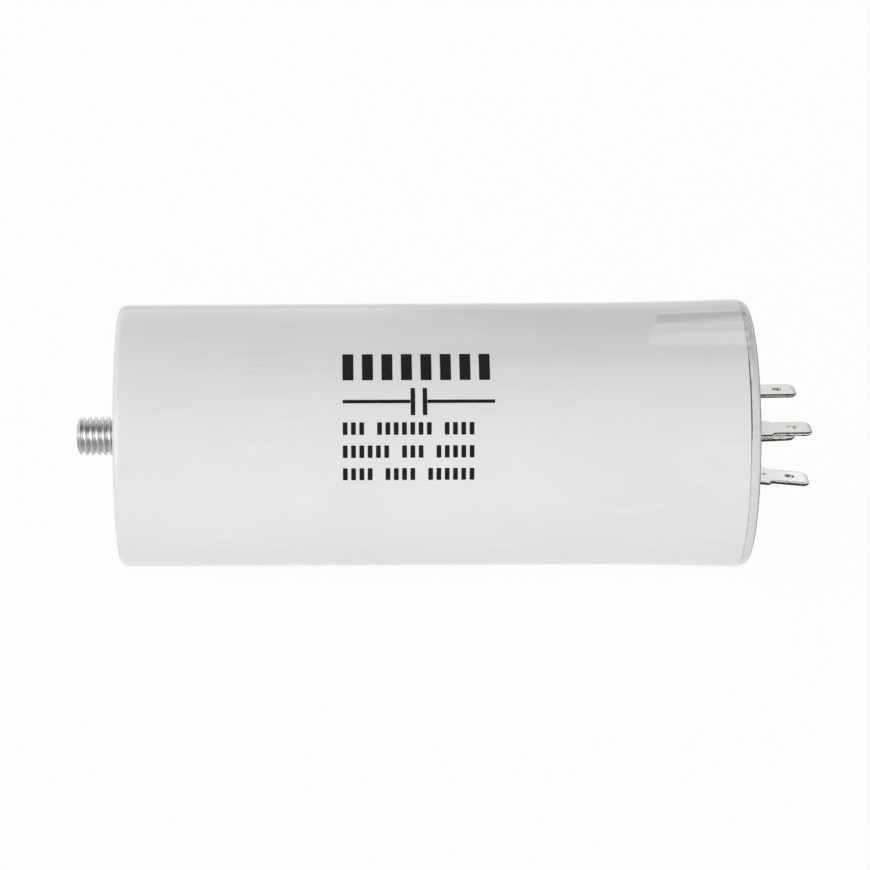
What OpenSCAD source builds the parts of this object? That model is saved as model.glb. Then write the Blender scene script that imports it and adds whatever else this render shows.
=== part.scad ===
// Motor capacitor with a base stud: a moulded can lying along X, its stud
// towards -X and its push-on tabs towards +X. The origin is the middle of the
// can's flat base. Each piece is drawn standing on Z and then laid down.

/* [Can] */
// Outside diameter of the can at its base
can_d = 54; // [50:0.5:60]
// Length of the can from its base to its rim
can_len = 127.3; // [110:0.5:150]
// Thickness of the can's wall
can_wall = 2; // [1.6:0.1:2.4]
// Thickness of the can's floor
can_floor = 3; // [2.5:0.1:4]
// Rounding of the outer edge of the base
base_edge_r = 1.5; // [0.6:0.1:2]
// Rounding inside the can between its floor and its wall
floor_fillet_r = 1.5; // [0.5:0.1:2.5]
// Gain in radius from the base to the start of the flare
draft_rise = 0.2; // [0.1:0.05:0.5]
// Gain in radius over the flare at the mouth
flare_rise = 0.6; // [0.2:0.05:1]
// Length of the flare at the mouth
flare_len = 38.5; // [25:0.5:55]
// Depth of the step in the mouth that takes the lid
mouth_step = 0.5; // [0.3:0.05:0.8]
// Rounding of the outer edge of the rim
rim_edge_r = 0.25; // [0.1:0.05:0.4]

/* [Lid] */
// Thickness of the lid above the can's rim
lid_t = 2.2; // [1.8:0.1:3]
// How far the lid's edge stands in from the can's rim
lid_inset = 0.15; // [0.05:0.05:0.4]
// Rounding of the lid's outer edge
lid_edge_r = 1.8; // [0.6:0.1:1.9]
// Width of the open seam between the rim and the lid's edge
seam_gap = 0.3; // [0.1:0.05:0.4]
// Depth of the open seam
seam_depth = 0.8; // [0.4:0.1:1]
// Depth of the ring that plugs into the can's mouth
spigot_depth = 6; // [4:0.5:10]
// Thickness of the plugging ring
spigot_t = 1.6; // [1.2:0.1:2.4]
// Lead-in chamfer at the foot of the plugging ring
spigot_chamfer = 0.6; // [0.3:0.1:1]
// Clearance between the plugging ring and the can's mouth
fit_gap = 0.05; // [0.03:0.01:0.15]
// Space under the plugging ring
spigot_relief = 0.3; // [0.2:0.1:1]
// Depth of the terminals' seats in the lid
seat_depth = 0.4; // [0.2:0.1:0.8]
// Clearance round a terminal in its seat
seat_gap = 0.1; // [0.05:0.05:0.3]
// Outside diameter of the bosses under the lid that stiffen it at the rivets
rivet_boss_d = 10; // [9:0.5:12]
// Height of those bosses
rivet_boss_h = 1.5; // [1:0.1:3]

/* [Mounting stud] */
// Thread diameter of the stud
stud_d = 8; // [6:1:10]
// Length of the stud outside the base
stud_len = 9; // [8:0.2:20]
// Chamfer at the stud's tip
stud_chamfer = 1; // [0.4:0.1:1.2]
// Thickness of the collar round the thread inside the floor
stud_collar_t = 0.5; // [0.3:0.1:1]
// Width across the flats of the stud's head
stud_head_af = 13; // [12:0.5:16]
// Height of the stud's head
stud_head_h = 5.3; // [4:0.1:7]
// Thickness of the can's socket at the corners of the head
socket_wall = 2.5; // [1.5:0.1:4]

/* [Terminals] */
// Distance between the middles of the two terminals
terminal_pitch = 23.8; // [20:0.2:28]
// Distance between the middle planes of a terminal's two tabs
tab_spacing = 9.9; // [9.5:0.1:12]
// Width of a tab
tab_w = 6.3; // [5.8:0.1:6.5]
// Thickness of the terminals' sheet metal
tab_t = 0.8; // [0.6:0.1:1]
// Height of the tabs' tips above the lid
tab_rise = 11.9; // [11:0.1:15]
// Length of a tab from its shoulders to its tip
tab_len = 7.8; // [7.2:0.1:8.4]
// Width of a terminal at its strap and shoulders
shoulder_w = 8.6; // [7:0.1:9.5]
// Length of the slope from the shoulder to the tab
shoulder_slope = 0.8; // [0.4:0.1:1.2]
// Inner radius of the bends
bend_r = 0.6; // [0.4:0.1:0.8]
// Diameter of the latching hole in each tab
tab_hole_d = 2.1; // [1.4:0.1:2.4]
// Distance of the latching hole from the tip
tab_hole_from_tip = 4; // [3.5:0.1:4.6]
// Corner cut at the tip of a tab
tip_corner = 1; // [0.5:0.1:1.4]
// Length of the coined slopes that thin the tip
tip_slope = 0.9; // [0.4:0.1:1.2]
// Depth of each coined slope
tip_thin = 0.2; // [0.1:0.05:0.25]
// Outward lean of the front terminal's upper tab, in degrees
front_upper_lean = 0.6; // [-3:0.1:8]
// Outward lean of the front terminal's lower tab, in degrees
front_lower_lean = 5.5; // [-3:0.1:8]
// Outward lean of the back terminal's upper tab, in degrees
back_upper_lean = 0.6; // [-3:0.1:8]
// Outward lean of the back terminal's lower tab, in degrees
back_lower_lean = -2.4; // [-3:0.1:8]

/* [Rivets] */
// Diameter of the rivets' shanks
rivet_d = 3.6; // [3:0.1:4]
// Diameter of the rivets' outer heads
rivet_head_d = 6.4; // [5.5:0.1:7]
// Height of the rivets' outer heads
rivet_head_h = 1.3; // [0.8:0.1:1.6]
// Diameter of the closing heads inside
rivet_close_d = 5.4; // [4.8:0.1:6]
// Height of the closing heads inside
rivet_close_h = 0.9; // [0.6:0.1:1.4]
// Clearance round a rivet's shank
rivet_gap = 0.05; // [0.03:0.01:0.1]
// Thickness of the solder tags under the lid
tag_t = 0.5; // [0.4:0.1:0.8]
// Diameter of a solder tag round its rivet
tag_d = 7.4; // [6.6:0.1:9]
// Width of a solder tag's tail
tag_tail_w = 3.4; // [2.6:0.1:5]
// Distance from a rivet to the lead on the tag's tail
tag_reach = 5.5; // [4.8:0.1:6]

/* [Winding] */
// Resin between the wrapped winding and the can's wall at the base
resin_gap = 1; // [0.6:0.1:2]
// Resin under the lower lead's bend
resin_under = 0.8; // [0.4:0.1:2]
// Resin over the winding
resin_over = 3; // [1:0.5:5]
// Free height from the winding to the can's rim
head_room = 17.3; // [16.5:0.1:22]
// Thickness of the insulating wrap
wrap_t = 0.4; // [0.2:0.1:0.8]
// Thickness of the metal sprayed on each end of the winding
contact_t = 0.6; // [0.3:0.1:1]
// Outside diameter of the core tube
core_d = 10; // [9:0.5:10.5]
// Wall of the core tube
core_wall = 2; // [1:0.1:2.5]
// Outside diameter of the leads
lead_d = 1.8; // [1.2:0.1:2]
// Bend radius of the lower lead under the winding
lead_bend_r = 4; // [3.5:0.1:5]
// Straight length of a lead where it is soldered on
lead_tail = 1; // [0.5:0.1:1.6]

/* [Hidden] */
$fn = 96;
overlap = 1;
arc_steps = 8;
flare_steps = 16;

// Radii of the can
base_r = can_d / 2;
flare_z = can_len - flare_len;
mouth_r = base_r + draft_rise + flare_rise;
rebate_z = can_len - spigot_depth - spigot_relief;
rebate_r = can_r(rebate_z) - can_wall + mouth_step;

// Heights and radii of the lid
lid_top = can_len + lid_t;
lid_r = mouth_r - lid_inset;
lid_round_r = min(lid_edge_r, lid_t - seam_gap);
land_r = mouth_r - seam_depth;
spigot_r = rebate_r - fit_gap;
spigot_z = can_len - spigot_depth;
seat_z = lid_top - seat_depth;
rivet_boss_z = can_len - rivet_boss_h;
rivet_hole_r = rivet_d / 2 + rivet_gap;

// Heights of the stud and its socket
socket_top = can_floor + stud_head_h;
collar_r = stud_d / 2 + stud_collar_t;
head_r = stud_head_af / 2 / cos(30);
socket_r = head_r + socket_wall;

// Folded terminals
strap_top = seat_z + tab_t;
bend_z = strap_top + bend_r;
bend_x = tab_spacing / 2 - bend_r - tab_t / 2;
blade_len = lid_top + tab_rise - bend_z;
terminal_y = terminal_pitch / 2;

// Heights and radii inside the can
tag_z = rivet_boss_z - tag_t;
tag_y = terminal_y - tag_reach;
lower_z = socket_top + resin_under + lead_d / 2 + lead_bend_r + lead_tail;
upper_z = can_len - head_room;
resin_z = upper_z + resin_over;
wrap_r = base_r - can_wall - resin_gap;
winding_r = wrap_r - wrap_t;
core_r = core_d / 2;
bore_r = core_r - core_wall;
s_bend_r = tag_y / 2;
s_bend_z = tag_z - lead_tail - 2 * s_bend_r;

// Outer radius of the can at height z: a drafted wall that turns into a flare
function can_r(z) =
  base_r + draft_rise * min(z / flare_z, 1) + flare_rise * pow(max(z - flare_z, 0) / flare_len, 2);

// Points along an arc in a profile
function arc(x, y, r, from, to) =
  [for (i = [0:arc_steps]) let (a = from + (to - from) * i / arc_steps) [x + r * cos(a), y + r * sin(a)]];

// Points up the can's wall between two heights, set in from the outside
function wall(inset, from, to) =
  [for (i = [0:flare_steps]) let (z = from + (to - from) * i / flare_steps) [can_r(z) - inset, z]];

// Lays an upright piece down along X
module lay() {
  rotate([0, 90, 0]) children();
}

// Solid outline of the can, drawn as half its section
module can_outside() {
  rim_r = mouth_r - rim_edge_r;
  polygon(concat(
    [[0, 0]],
    arc(base_r - base_edge_r, base_edge_r, base_edge_r, -90, 0),
    wall(0, flare_z, can_len - rim_edge_r),
    arc(rim_r, can_len - rim_edge_r, rim_edge_r, 0, 90),
    [[0, can_len]]
  ));
}

// Half section of the space inside the can, open past its rim
module can_inside() {
  floor_r = base_r - can_wall;
  polygon(concat(
    [[0, can_floor]],
    arc(floor_r - floor_fillet_r, can_floor + floor_fillet_r, floor_fillet_r, -90, 0),
    wall(can_wall, flare_z, can_len),
    [[mouth_r - can_wall, can_len + overlap], [0, can_len + overlap]]
  ));
}

// The stud's head and collar, which the can is moulded round
module stud_anchor() {
  cylinder(r = collar_r, h = can_floor);
  translate([0, 0, can_floor]) rotate(30) cylinder(r = head_r, h = stud_head_h, $fn = 6);
}

module can() {
  color("whitesmoke") lay() difference() {
    union() {
      rotate_extrude() difference() {
        can_outside();
        can_inside();
        translate([0, rebate_z]) square([rebate_r, can_len]);
      }
      translate([0, 0, can_floor - overlap]) cylinder(r = socket_r, h = stud_head_h + overlap);
    }
    stud_anchor();
  }
}

module mounting_stud() {
  color("silver") lay() {
    rotate_extrude() polygon([
      [0, -stud_len],
      [stud_d / 2 - stud_chamfer, -stud_len],
      [stud_d / 2, stud_chamfer - stud_len],
      [stud_d / 2, 0],
      [collar_r, 0],
      [collar_r, can_floor],
      [0, can_floor]
    ]);
    translate([0, 0, can_floor]) rotate(30) cylinder(r = head_r, h = stud_head_h, $fn = 6);
  }
}

// Half section of the lid: a flange on the can's rim and a ring that plugs the mouth
module lid_section() {
  polygon(concat(
    [
      [0, can_len],
      [spigot_r - spigot_t, can_len],
      [spigot_r - spigot_t, spigot_z],
      [spigot_r - spigot_chamfer, spigot_z],
      [spigot_r, spigot_z + spigot_chamfer],
      [spigot_r, can_len],
      [land_r, can_len],
      [land_r, can_len + seam_gap],
      [lid_r, can_len + seam_gap]
    ],
    arc(lid_r - lid_round_r, lid_top - lid_round_r, lid_round_r, 0, 90),
    [[0, lid_top]]
  ));
}

module lid() {
  seat_len = tab_spacing + tab_t + 2 * seat_gap;
  seat_w = shoulder_w + 2 * seat_gap;
  color("white") lay() difference() {
    union() {
      rotate_extrude() lid_section();
      for (side = [-1, 1])
        translate([0, side * terminal_y, rivet_boss_z]) cylinder(d = rivet_boss_d, h = rivet_boss_h + overlap);
    }
    for (side = [-1, 1]) translate([0, side * terminal_y, 0]) {
      translate([-seat_len / 2, -seat_w / 2, seat_z]) cube([seat_len, seat_w, seat_depth + overlap]);
      translate([0, 0, rivet_boss_z - overlap]) cylinder(r = rivet_hole_r, h = can_len);
    }
  }
}

// A point of a leaning tab: its distance from the bend's axis, and its height above the bend
function leaning(out, up, lean) =
  [bend_x + out * cos(lean) + up * sin(lean), bend_z - out * sin(lean) + up * cos(lean)];

// Edge view of half a terminal: round the bend, up the outer face, over the thinned tip and back
function half_strip(lean) = concat(
  arc(bend_x, bend_z, bend_r + tab_t, -90, -lean),
  [
    leaning(bend_r + tab_t, blade_len - tip_slope, lean),
    leaning(bend_r + tab_t - tip_thin, blade_len, lean),
    leaning(bend_r + tip_thin, blade_len, lean),
    leaning(bend_r, blade_len - tip_slope, lean)
  ],
  arc(bend_x, bend_z, bend_r, -lean, -90)
);

// The same points on the other side of the axis, in the opposite order
function mirrored(points) =
  [for (i = [1:len(points)]) let (p = points[len(points) - i]) [-p.x, p.y]];

// What is stamped away beside a tab, seen on its face: along the shoulder's slope, up the tab, off its corner
module tab_side() {
  step = (shoulder_w - tab_w) / 2;
  slope_top = blade_len - tab_len;
  polygon([
    [tab_w / 2 + step + overlap, slope_top - shoulder_slope * (step + overlap) / step],
    [tab_w / 2, slope_top],
    [tab_w / 2, blade_len - tip_corner],
    [tab_w / 2 - tip_corner - overlap, blade_len + overlap],
    [tab_w / 2 + step + overlap, blade_len + overlap]
  ]);
}

// All that is stamped away round a leaning tab, with its latching hole
module tab_stamping(lean) {
  translate([bend_x, 0, bend_z]) rotate([0, lean, 0]) translate([bend_r - overlap, 0, 0]) {
    rotate([90, 0, 90]) linear_extrude(tab_t + 2 * overlap) for (side = [0, 1]) mirror([side, 0]) tab_side();
    translate([0, 0, blade_len - tab_hole_from_tip])
      rotate([0, 90, 0]) cylinder(d = tab_hole_d, h = tab_t + 2 * overlap);
  }
}

// One strip of sheet metal: a strap on the lid with a tab bent up at each end
module terminal(y, upper_lean, lower_lean) {
  color("gainsboro") lay() translate([0, y, 0]) difference() {
    rotate([90, 0, 0]) linear_extrude(shoulder_w, center = true)
      polygon(concat(half_strip(lower_lean), mirrored(half_strip(upper_lean))));
    tab_stamping(lower_lean);
    mirror([1, 0, 0]) tab_stamping(upper_lean);
    translate([0, 0, seat_z - overlap]) cylinder(r = rivet_hole_r, h = tab_t + 2 * overlap);
  }
}

module terminal_front() {
  terminal(-terminal_y, front_upper_lean, front_lower_lean);
}

module terminal_back() {
  terminal(terminal_y, back_upper_lean, back_lower_lean);
}

// A rivet with a domed head on the strap and a flat closing head under the solder tag
module rivet() {
  dome_edge_r = rivet_head_d / 2;
  dome_r = (pow(dome_edge_r, 2) + pow(rivet_head_h, 2)) / (2 * rivet_head_h);
  dome_z = strap_top + rivet_head_h - dome_r;
  rotate_extrude() polygon(concat(
    [
      [0, tag_z - rivet_close_h],
      [rivet_d / 2, tag_z - rivet_close_h],
      [rivet_close_d / 2, tag_z - rivet_close_h / 2],
      [rivet_close_d / 2, tag_z],
      [rivet_d / 2, tag_z],
      [rivet_d / 2, strap_top]
    ],
    arc(0, dome_z, dome_r, asin((strap_top - dome_z) / dome_r), 90)
  ));
}

module terminal_rivets() {
  color("lightgray") lay() for (side = [-1, 1]) translate([0, side * terminal_y, 0]) rivet();
}

// A ring under the lid with a tail that reaches back towards the axis
module solder_tag() {
  translate([0, terminal_y, tag_z]) difference() {
    union() {
      cylinder(d = tag_d, h = tag_t);
      translate([-tag_tail_w / 2, -tag_reach, 0]) cube([tag_tail_w, tag_reach, tag_t]);
      translate([0, -tag_reach, 0]) cylinder(d = tag_tail_w, h = tag_t);
    }
    translate([0, 0, -overlap]) cylinder(r = rivet_hole_r, h = tag_t + 2 * overlap);
  }
}

module solder_tag_front() {
  color("goldenrod") lay() mirror([0, 1, 0]) solder_tag();
}

module solder_tag_back() {
  color("goldenrod") lay() solder_tag();
}

// A straight length of lead standing at y between two heights
module lead_run(y, from, to) {
  translate([0, y, from]) cylinder(d = lead_d, h = to - from);
}

// A bend of a lead in the plane x = 0, swept from one angle round its centre
module lead_bend(y, z, r, from, sweep) {
  translate([0, y, z]) rotate([90, 0, 90]) rotate(from) rotate_extrude(angle = sweep)
    translate([r, 0]) circle(d = lead_d);
}

// From the upper end of the winding straight to the front tag
module upper_lead_shape() {
  lead_run(-tag_y, upper_z, tag_z);
}

// From the lower end of the winding round into the core, up through it and across to the back tag
module lower_lead_shape() {
  turn_z = lower_z - lead_tail;
  lead_run(2 * lead_bend_r, turn_z, lower_z);
  lead_bend(lead_bend_r, turn_z, lead_bend_r, 180, 180);
  lead_run(0, turn_z, s_bend_z);
  lead_bend(s_bend_r, s_bend_z, s_bend_r, 90, 90);
  lead_bend(s_bend_r, s_bend_z + 2 * s_bend_r, s_bend_r, 270, 90);
  lead_run(tag_y, s_bend_z + 2 * s_bend_r, tag_z);
}

module upper_lead() {
  color("firebrick") lay() upper_lead_shape();
}

module lower_lead() {
  color("royalblue") lay() lower_lead_shape();
}

// A tube round the axis between two heights
module tube(outer_r, inner_r, from, to) {
  translate([0, 0, from]) difference() {
    cylinder(r = outer_r, h = to - from);
    translate([0, 0, -overlap]) cylinder(r = inner_r, h = to - from + 2 * overlap);
  }
}

module winding() {
  color("lightsteelblue") lay() tube(winding_r, core_r, lower_z + contact_t, upper_z - contact_t);
}

module core_tube() {
  color("beige") lay() tube(core_r, bore_r, lower_z, upper_z);
}

module upper_contact() {
  color("slategray") lay() tube(winding_r, core_r, upper_z - contact_t, upper_z);
}

module lower_contact() {
  color("slategray") lay() tube(winding_r, core_r, lower_z, lower_z + contact_t);
}

module winding_wrap() {
  color("khaki") lay() tube(wrap_r, winding_r, lower_z, upper_z);
}

// Resin round the winding and its leads, filling the core's bore as well
module potting_resin() {
  color("dimgray") lay() difference() {
    rotate_extrude() intersection() {
      can_inside();
      square([can_d, resin_z]);
    }
    cylinder(r = socket_r, h = socket_top);
    tube(wrap_r, bore_r, lower_z, upper_z);
    upper_lead_shape();
    lower_lead_shape();
  }
}

can();
mounting_stud();
lid();
terminal_front();
terminal_back();
terminal_rivets();
solder_tag_front();
solder_tag_back();
upper_lead();
lower_lead();
winding();
core_tube();
upper_contact();
lower_contact();
winding_wrap();
potting_resin();
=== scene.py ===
import math

import bpy
from mathutils import Matrix, Vector, noise


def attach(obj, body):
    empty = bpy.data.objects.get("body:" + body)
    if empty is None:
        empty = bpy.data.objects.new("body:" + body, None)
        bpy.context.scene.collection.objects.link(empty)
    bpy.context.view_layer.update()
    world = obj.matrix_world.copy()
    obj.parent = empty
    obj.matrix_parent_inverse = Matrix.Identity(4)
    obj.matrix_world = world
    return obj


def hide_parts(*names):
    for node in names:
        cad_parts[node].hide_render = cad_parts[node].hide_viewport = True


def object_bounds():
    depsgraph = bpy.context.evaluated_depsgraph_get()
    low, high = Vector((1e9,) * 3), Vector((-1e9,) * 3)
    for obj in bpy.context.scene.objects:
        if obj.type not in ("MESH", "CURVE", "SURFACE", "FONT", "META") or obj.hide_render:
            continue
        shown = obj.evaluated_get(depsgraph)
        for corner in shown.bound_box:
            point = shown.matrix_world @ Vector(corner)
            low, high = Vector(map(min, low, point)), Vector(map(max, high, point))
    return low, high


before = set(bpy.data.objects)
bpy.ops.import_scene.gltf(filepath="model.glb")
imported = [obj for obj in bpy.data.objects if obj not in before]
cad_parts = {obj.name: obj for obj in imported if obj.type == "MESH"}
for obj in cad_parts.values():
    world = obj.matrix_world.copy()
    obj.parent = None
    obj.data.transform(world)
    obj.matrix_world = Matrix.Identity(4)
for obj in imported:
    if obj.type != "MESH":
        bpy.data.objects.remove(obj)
cadLow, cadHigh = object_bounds()
mm = 0.001
cutSlack = 0.0001 * mm
mergeSlack = 0.001 * mm
print("frame loaded:", len(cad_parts), "nodes")


# small modelling helpers

def openMesh():
    # edit mode with everything picked
    bpy.ops.object.mode_set(mode="EDIT")
    bpy.ops.mesh.select_all(action="SELECT")


def closeMesh():
    bpy.ops.object.mode_set(mode="OBJECT")


def startClean():
    if bpy.context.mode != "OBJECT":
        closeMesh()
    bpy.ops.object.select_all(action="DESELECT")


def pickOnly(piece):
    startClean()
    piece.select_set(True)
    bpy.context.view_layer.objects.active = piece


def nameActive(name):
    piece = bpy.context.object
    piece.name = name
    piece.data.name = name
    return piece


def applyPlace():
    bpy.ops.object.transform_apply(location=True, rotation=True, scale=True)


def arcPoints(x, r, radius, start, end, steps):
    # points round a corner of a half section, angles in degrees from the X axis
    angles = [math.radians(start + (end - start) * i / steps) for i in range(steps + 1)]
    return [(x + radius * math.cos(a), r + radius * math.sin(a)) for a in angles]


def drawLine(name, points):
    # a line of (x, radius) points in mm, drawn point by point; it stays in edit mode
    startClean()
    bpy.ops.mesh.primitive_plane_add(size=mm, location=(0, 0, 0))
    piece = nameActive(name)
    openMesh()
    bpy.ops.mesh.merge(type="CENTER")
    x, r = points[0]
    bpy.ops.transform.translate(value=(x * mm, 0, r * mm))
    for nextX, nextR in points[1:]:
        step = ((nextX - x) * mm, 0, (nextR - r) * mm)
        bpy.ops.mesh.extrude_region_move(TRANSFORM_OT_translate={"value": step})
        x, r = nextX, nextR
    return piece


def spinSection(name, section, steps):
    # a half section, spun round the X axis
    piece = drawLine(name, section)
    bpy.ops.mesh.select_all(action="SELECT")
    bpy.ops.mesh.spin(steps=steps, angle=2 * math.pi, center=(0, 0, 0), axis=(1, 0, 0))
    mergeAndFace()
    closeMesh()
    return piece


def mergeAndFace():
    # in edit mode: close the seams, then turn every face outwards
    bpy.ops.mesh.select_all(action="SELECT")
    bpy.ops.mesh.remove_doubles(threshold=mergeSlack)
    bpy.ops.mesh.normals_make_consistent(inside=False)


def placeBox(name, low, high):
    # a box between two corners, in mm
    startClean()
    middle = [(a + b) / 2 * mm for a, b in zip(low, high)]
    size = [(b - a) * mm for a, b in zip(low, high)]
    bpy.ops.mesh.primitive_cube_add(size=1, location=middle)
    box = nameActive(name)
    openMesh()
    bpy.ops.transform.resize(value=size, center_override=middle)
    closeMesh()
    applyPlace()
    return box


def placeCylinder(name, spot, radius, tall, sides, turn=(0, 0, 0)):
    # a cylinder in mm, along Z unless it is turned
    startClean()
    spot = [s * mm for s in spot]
    bpy.ops.mesh.primitive_cylinder_add(
        vertices=sides, radius=radius * mm, depth=tall * mm, location=spot, rotation=turn)
    rod = nameActive(name)
    applyPlace()
    return rod


def placeRod(name, y, start, end, radius, sides):
    # a round or six-sided rod along X
    middle = ((start + end) / 2, y, 0)
    return placeCylinder(name, middle, radius, end - start, sides, turn=(0, math.radians(90), 0))


def combine(piece, tool, how):
    # boolean with a tool object that is used up
    pickOnly(piece)
    cut = piece.modifiers.new("combine", "BOOLEAN")
    cut.operation = how
    cut.solver = "EXACT"
    cut.object = tool
    bpy.ops.object.modifier_apply(modifier=cut.name)
    bpy.data.objects.remove(tool, do_unlink=True)


def softenEdges(piece, width, segments, angle):
    pickOnly(piece)
    bevel = piece.modifiers.new("soften", "BEVEL")
    bevel.width = width * mm
    bevel.segments = segments
    bevel.limit_method = "ANGLE"
    bevel.angle_limit = math.radians(angle)
    bevel.use_clamp_overlap = True
    bpy.ops.object.modifier_apply(modifier=bevel.name)


def smoothBy(piece, angle):
    pickOnly(piece)
    bpy.ops.object.shade_smooth_by_angle(angle=math.radians(angle))


def finishPiece(piece, nodes, mats):
    piece.data.materials.clear()
    for mat in mats:
        piece.data.materials.append(mat)
    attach(piece, "root")
    if nodes:
        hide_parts(*nodes)


# small material helpers

def newMaterial(name):
    mat = bpy.data.materials.new(name)
    mat.use_nodes = True
    tree = mat.node_tree
    shader = tree.nodes["Principled BSDF"]
    place = tree.nodes.new("ShaderNodeTexCoord").outputs["Object"]
    return mat, tree, shader, place


def put(tree, kind, inputs, **settings):
    # adds a node; a socket among the inputs is linked, anything else is set
    node = tree.nodes.new("ShaderNode" + kind)
    for key, value in settings.items():
        setattr(node, key, value)
    for key, value in inputs.items():
        if isinstance(value, bpy.types.NodeSocket):
            tree.links.new(value, node.inputs[key])
        else:
            node.inputs[key].default_value = value
    return node


def stretch(tree, place, scale):
    return put(tree, "Mapping", {"Vector": place, "Scale": scale}).outputs["Vector"]


def grain(tree, place, scale, detail=3, rough=0.5, warp=0):
    wanted = {"Vector": place, "Scale": scale, "Detail": detail, "Roughness": rough, "Distortion": warp}
    return put(tree, "TexNoise", wanted).outputs["Fac"]


def streaks(tree, place, scale, detail=3, rough=0.5, warp=0):
    # grain drawn out by its own scale on each axis
    return grain(tree, stretch(tree, place, scale), 1, detail, rough, warp)


def remap(tree, value, low, high, toLow=0.0, toHigh=1.0):
    wanted = {"Value": value, "From Min": low, "From Max": high, "To Min": toLow, "To Max": toHigh}
    return put(tree, "MapRange", wanted, interpolation_type="SMOOTHSTEP").outputs["Result"]


def calc(tree, how, a, b):
    return put(tree, "Math", {0: a, 1: b}, operation=how).outputs["Value"]


def times(tree, a, b):
    return calc(tree, "MULTIPLY", a, b)


def plus(tree, a, b):
    return calc(tree, "ADD", a, b)


def most(tree, a, b):
    return calc(tree, "MAXIMUM", a, b)


def tint(tree, factor, a, b):
    return put(tree, "Mix", {0: factor, 6: a, 7: b}, data_type="RGBA").outputs[2]


def split(tree, place):
    return put(tree, "SeparateXYZ", {0: place}).outputs


def fromAxis(tree, place):
    # distance from the X axis
    flat = put(tree, "VectorMath", {0: place, 1: (0, 1, 1)}, operation="MULTIPLY").outputs["Vector"]
    return put(tree, "VectorMath", {0: flat}, operation="LENGTH").outputs["Value"]


def band(tree, value, limits):
    # 1 between the two inner limits, falling to 0 at the outer ones
    rising = remap(tree, value, limits[0], limits[1])
    return times(tree, rising, remap(tree, value, limits[2], limits[3], 1, 0))


def dots(tree, place, scale, size, share):
    # scattered round specks: only some cells of the pattern hold one
    cells = put(tree, "TexVoronoi", {"Vector": place, "Scale": scale, "Randomness": 1})
    near = remap(tree, cells.outputs["Distance"], size * 0.55, size, 1, 0)
    chosen = remap(tree, split(tree, cells.outputs["Color"])[0], 1 - share, 1 - share * 0.8)
    return times(tree, near, chosen)


def relief(tree, height, strength, depth, under=None):
    wanted = {"Height": height, "Strength": strength, "Distance": depth * mm}
    if under:
        wanted["Normal"] = under
    return put(tree, "Bump", wanted).outputs["Normal"]


def feed(tree, shader, links, **fixed):
    for key, socket in links.items():
        tree.links.new(socket, shader.inputs[key])
    for key, value in fixed.items():
        shader.inputs[key].default_value = value


# white moulded plastic, shared by the can and its lid

plastic = {
    "white": (0.765, 0.766, 0.778, 1), "cloud": (0.735, 0.737, 0.752, 1), "scuff": (0.50, 0.50, 0.52, 1),
    "dust": (0.82, 0.82, 0.825, 1), "speck": (0.20, 0.19, 0.19, 1), "shadeAndGrime": (0.06, 0.058, 0.055, 1),
    "rough": 0.07, "baseRough": 0.45, "bend": 1.49,
    # how much each mark shows in the colour, and in the roughness
    "rubShow": 0.17, "dustShow": 0.38, "scratchShow": 0.16, "speckShow": 0.13,
    "rubRough": 0.10, "cloudRough": 0.02,
    # where it lies, in metres with soft borders: the flat base, the side that is rubbed and specked most
    "baseAlong": (0.0001, 0.0004), "rubUp": (0.002, 0.020), "speckUp": (-0.005, 0.015),
    # the scratched patch on the upper front: along the can, up it, and on which side
    "patchAlong": (0.018, 0.027, 0.043, 0.053), "patchUp": (0.0180, 0.0198, 0.0232, 0.0248),
    "patchSide": (0.002, -0.002), "speckShake": (0.0007, 0.0007, 0.0007),
}


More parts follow.
